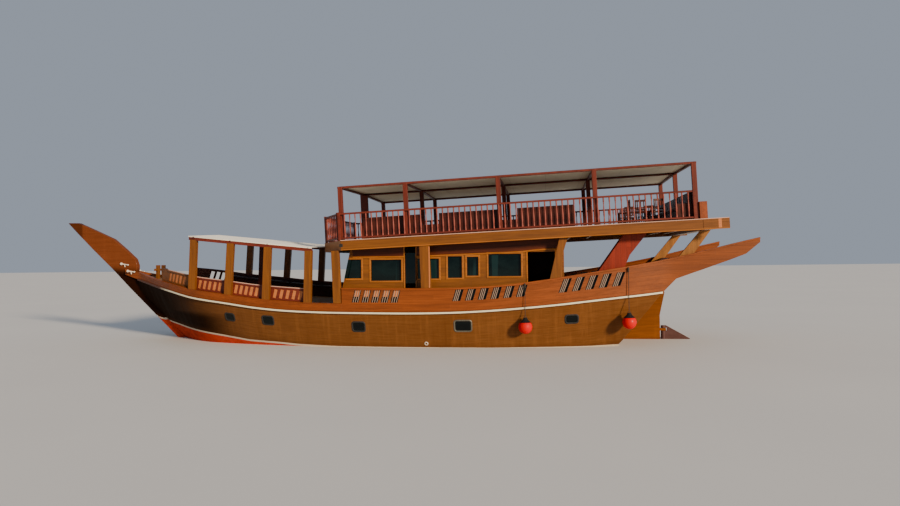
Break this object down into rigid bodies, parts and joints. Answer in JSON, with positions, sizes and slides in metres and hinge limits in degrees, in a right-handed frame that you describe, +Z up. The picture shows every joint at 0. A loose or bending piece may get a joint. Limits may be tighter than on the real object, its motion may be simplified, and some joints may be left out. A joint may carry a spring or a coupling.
{
  "type": "motor dhow boat",
  "caption": "Wooden motor dhow with a decked planked hull, glazed deckhouse, railed upper deck under a canopy, fore awning, turning rudder, propeller and hinged aft doors.",
  "frame": {"origin": "on the waterline and the centreline, halfway along the length over all", "axes": "+X to the bow, +Y to port, +Z up"},
  "size_m": [30, 7.7918, 8.9598],
  "materials": {
    "hull_varnish": "glossy varnished hull planking",
    "bottom_paint": "matt bottom paint on wood",
    "bulwark_wood": "varnished orange-brown planks",
    "rail_paint": "cream painted rubbing strake",
    "deck_wood": "worn deck planking",
    "gold_wood": "golden varnished timber",
    "red_wood": "red mahogany, semi gloss",
    "awning_cloth": "cream awning canvas",
    "canopy_cloth": "khaki canopy canvas",
    "window_glass": "dark tinted glass",
    "bench_leather": "dark maroon upholstery",
    "bronze": "cast propeller bronze",
    "fender_rubber": "inflated red fender"
  },
  "bodies": {
    "root": {"hull": "hull_varnish", "keel": "bottom_paint", "stem": "bulwark_wood", "main_deck": "deck_wood", "stern_board": "bulwark_wood", "stern_beam": "bulwark_wood", "awning_cloth": "awning_cloth", "awning_rafters": "gold_wood", "upper_deck": "gold_wood", "upper_rail_front": "red_wood", "aft_board": "bulwark_wood", "canopy_posts_port": "red_wood", "canopy_posts_starboard": "red_wood", "canopy_frame": "red_wood", "canopy_cloth": "canopy_cloth", "upper_table": "red_wood", "stair": "red_wood", "deckhouse_front": "gold_wood", "front_glass": "window_glass", "deckhouse_aft": "gold_wood", "bow_bitts": "gold_wood", "fender_fore": "fender_rubber", "fender_aft": "fender_rubber", "rub_rail_port": "rail_paint", "rub_rail_starboard": "rail_paint", "fore_bulwark_port": "bulwark_wood", "fore_bulwark_starboard": "bulwark_wood", "aft_bulwark_port": "bulwark_wood", "aft_bulwark_starboard": "bulwark_wood", "awning_posts_port": "gold_wood", "awning_posts_starboard": "gold_wood", "fore_rail_port": "red_wood", "fore_rail_starboard": "red_wood", "upper_rail_port": "red_wood", "upper_rail_starboard": "red_wood", "bench_port": "bench_leather", "bench_starboard": "bench_leather", "fore_bench_port": "bench_leather", "fore_bench_starboard": "bench_leather", "side_post_fore_port": "gold_wood", "side_post_fore_starboard": "gold_wood", "side_post_aft_port": "gold_wood", "side_post_aft_starboard": "gold_wood", "quarter_pillar_fore_port": "gold_wood", "quarter_pillar_fore_starboard": "gold_wood", "quarter_pillar_aft_port": "gold_wood", "quarter_pillar_aft_starboard": "gold_wood", "deckhouse_wall_port": "gold_wood", "deckhouse_wall_starboard": "gold_wood", "side_glass_port": "window_glass", "side_glass_starboard": "window_glass"},
    "rudder": {"rudder": "bottom_paint"},
    "propeller": {"propeller": "bronze"},
    "aft_door_port": {"aft_door_port": "red_wood"},
    "aft_door_starboard": {"aft_door_starboard": "red_wood"}
  },
  "joints": [
    {"name": "rudder_turn", "type": "hinge", "parent": "root", "child": "rudder", "pos_m": [-12, 0, -0.7], "axis": [0, 0, 1], "range_deg": [-35, 35]},
    {"name": "propeller_spin", "type": "hinge", "parent": "root", "child": "propeller", "pos_m": [-10.7, 0, -1.1], "axis": [1, 0, 0], "continuous": true},
    {"name": "aft_door_port_swing", "type": "hinge", "parent": "root", "child": "aft_door_port", "pos_m": [-7.9186, 0.76, 2.88], "axis": [0, 0, -1], "range_deg": [0, 100]},
    {"name": "aft_door_starboard_swing", "type": "hinge", "parent": "root", "child": "aft_door_starboard", "pos_m": [-7.9186, -0.76, 2.88], "axis": [0, 0, 1], "range_deg": [0, 100]}
  ]
}
